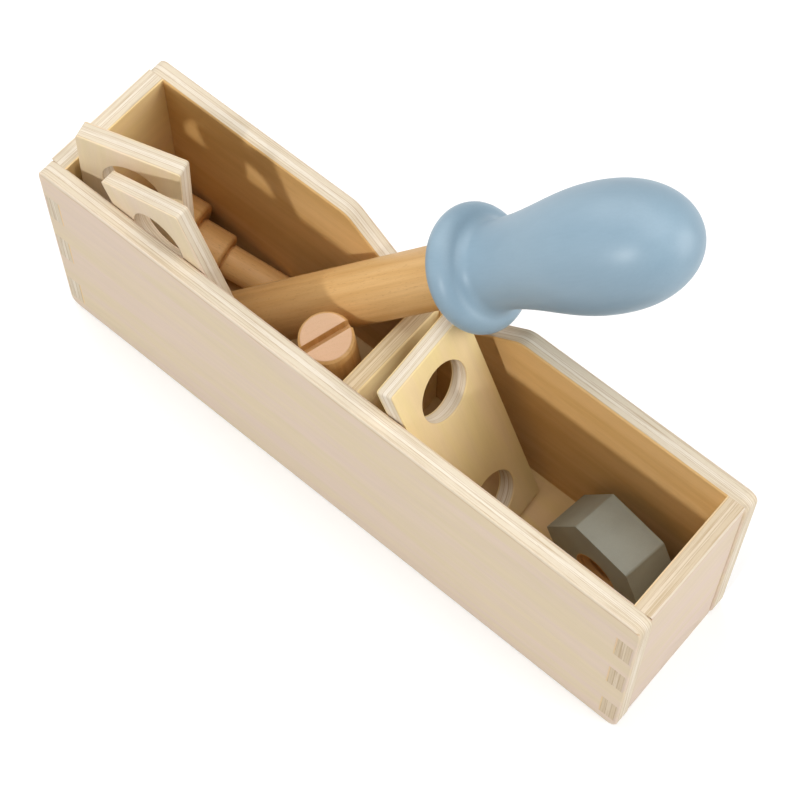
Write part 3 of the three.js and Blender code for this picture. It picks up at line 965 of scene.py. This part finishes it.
def nutPlace(node):
    # own Z along the bore, own X towards a corner. Only the bored faces have over eight corners
    mesh = weldedMesh(node)
    found = sorted(mesh.polygons, key=lambda face: -face.area)
    bore = max(found, key=lambda face: face.area * (len(face.vertices) > 8)).normal.copy()
    flat = next(face.normal for face in found if abs(face.normal.dot(bore)) < square)
    corner = Matrix.Rotation(math.pi / 6, 3, bore) @ flat
    return framed(corners(mesh), [corner, bore.cross(corner), bore])


place, size = nutPlace("hex_nut")
material = paintedGrey("greyPaint", place)
sizes = {"Across Flats": size[1], "Thickness": size[2], "Material": material}
mesh = fromTree(nutTree(), sizes, "hex_nut", place, nut["Ease"])
standIn("hex_nut", mesh, material, "grey_paint")
print("nut: across flats", round(size[1] / mm, 2), "mm")

# floor, light and camera

floor = {
    "colour": (0.52, 0.515, 0.51),
    "size": 6.0,
    "drop": 0.05 * mm,
    "glow": 0.24,
    "shadowShare": 0.83,
}
lamps = {
    "key": {"towards": (-0.06, 0.885, -0.46), "energy": 1.18, "angle": 4.5},
    "top": {"towards": (-0.087, 0.0, -0.996), "energy": 1.15, "angle": 50.0},
    "right": {"towards": (-0.879, -0.364, -0.309), "energy": 2.3, "angle": 50.0},
    "left": {"towards": (0.70, -0.10, -0.707), "energy": 1.6, "angle": 60.0},
    "front": {"towards": (0.364, 0.879, -0.309), "energy": 0.42, "angle": 50.0},
}
skyLight = 0.05
view = {
    "place": (0.20729, -0.23609, 0.66553),
    "turn": (26.45, 0.0, 40.42),
    "lens": 98.0,
    "sensor": 36.0,
}
white = (1.0, 1.0, 1.0, 1.0)


def seenRays(sheet):
    # 1 for what the camera sees, directly or in gloss, and 0 for what lights the object
    seen = sheet.node("ShaderNodeLightPath", output=None)
    kinds = ("Is Camera Ray", "Is Glossy Ray", "Is Transmission Ray")
    camera, gloss, clear = [Wire(sheet, seen.outputs[kind]) for kind in kinds]
    return sheet.math("ADD", camera + gloss, clear, clamp=True)


def floorMaterial():
    # almost white, with the object's shadow, where it is seen, and plain pale grey otherwise
    material = bpy.data.materials.new("paleFloor")
    material.use_nodes = True
    sheet = Sheet(material.node_tree)
    plain = sheet.node("ShaderNodeBsdfDiffuse", values={"Color": (*floor["colour"], 1.0)})
    grey = (*[floor["shadowShare"]] * 3, 1.0)
    shadow = sheet.node("ShaderNodeBsdfDiffuse", values={"Color": grey})
    glow = sheet.node("ShaderNodeEmission", values={"Color": white, "Strength": floor["glow"]})
    lit = sheet.node("ShaderNodeAddShader", values={0: shadow, 1: glow})
    both = sheet.node("ShaderNodeMixShader", values={0: seenRays(sheet), 1: plain, 2: lit})
    sheet.node("ShaderNodeOutputMaterial", values={"Surface": both}, output=None)
    return material


mesh = bpy.data.meshes.new("floorMesh")
half = floor["size"] / 2
rim = [(-half, -half, 0), (half, -half, 0), (half, half, 0), (-half, half, 0)]
mesh.from_pydata(rim, [], [(0, 1, 2, 3)])
mesh.materials.append(floorMaterial())
ground = bpy.data.objects.new("floor", mesh)
scene.collection.objects.link(ground)
ground.location.z = -floor["drop"]

world = bpy.data.worlds.new("studio")
world.use_nodes = True
scene.world = world
sheet = Sheet(world.node_tree)
backdrop = sheet.node("ShaderNodeBackground", values={"Color": white, "Strength": 1.0})
sky = sheet.node("ShaderNodeBackground", values={"Color": white, "Strength": skyLight})
both = sheet.node("ShaderNodeMixShader", values={0: seenRays(sheet), 1: sky, 2: backdrop})
sheet.node("ShaderNodeOutputWorld", values={"Surface": both}, output=None)

for name, given in lamps.items():
    lamp = bpy.data.lights.new(name, "SUN")
    lamp.energy = given["energy"]
    lamp.angle = math.radians(given["angle"])
    holder = bpy.data.objects.new(name, lamp)
    holder.rotation_euler = Vector(given["towards"]).to_track_quat("-Z", "Y").to_euler()
    scene.collection.objects.link(holder)

camera = bpy.data.objects.new("camera", bpy.data.cameras.new("camera"))
camera.data.sensor_width = view["sensor"]
camera.data.lens = view["lens"]
camera.location = view["place"]
camera.rotation_euler = [math.radians(angle) for angle in view["turn"]]
scene.collection.objects.link(camera)
scene.camera = camera
scene.view_settings.view_transform = "Standard"
print("stage: floor,", len(lamps), "lamps, camera")
